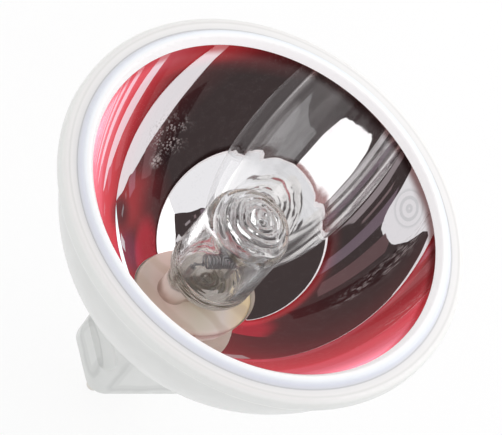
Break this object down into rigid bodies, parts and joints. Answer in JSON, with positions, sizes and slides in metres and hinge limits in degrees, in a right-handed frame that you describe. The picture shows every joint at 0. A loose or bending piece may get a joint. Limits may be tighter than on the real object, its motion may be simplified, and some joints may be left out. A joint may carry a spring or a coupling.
{
  "type": "halogen reflector lamp",
  "caption": "Pin-based halogen reflector lamp: a mirror-coated glass bowl with a stepped rim, a quartz capsule with a coil on its axis and a flat grooved neck with contact pins.",
  "frame": {"origin": "on the optical axis, at the end face of the glass neck, where the contact pins come out", "axes": "+Z along the optical axis towards the open mouth, +X through the two contact pins"},
  "size_m": [0.05, 0.05, 0.0438],
  "materials": {
    "reflector_glass": "pressed borosilicate glass, mirror coating on the inner face",
    "quartz": "clear fused quartz",
    "tungsten": "drawn grey wire",
    "molybdenum": "drawn grey wire and foil",
    "nickel": "bright plated pin",
    "cement": "matt cream cement"
  },
  "bodies": {
    "root": {"glass_reflector": "reflector_glass", "quartz_capsule": "quartz", "filament_coil": "tungsten", "neck_cement": "cement", "inner_lead_left": "molybdenum", "seal_foil_left": "molybdenum", "outer_lead_left": "molybdenum", "contact_pin_left": "nickel", "inner_lead_right": "molybdenum", "seal_foil_right": "molybdenum", "outer_lead_right": "molybdenum", "contact_pin_right": "nickel"}
  },
  "joints": []
}
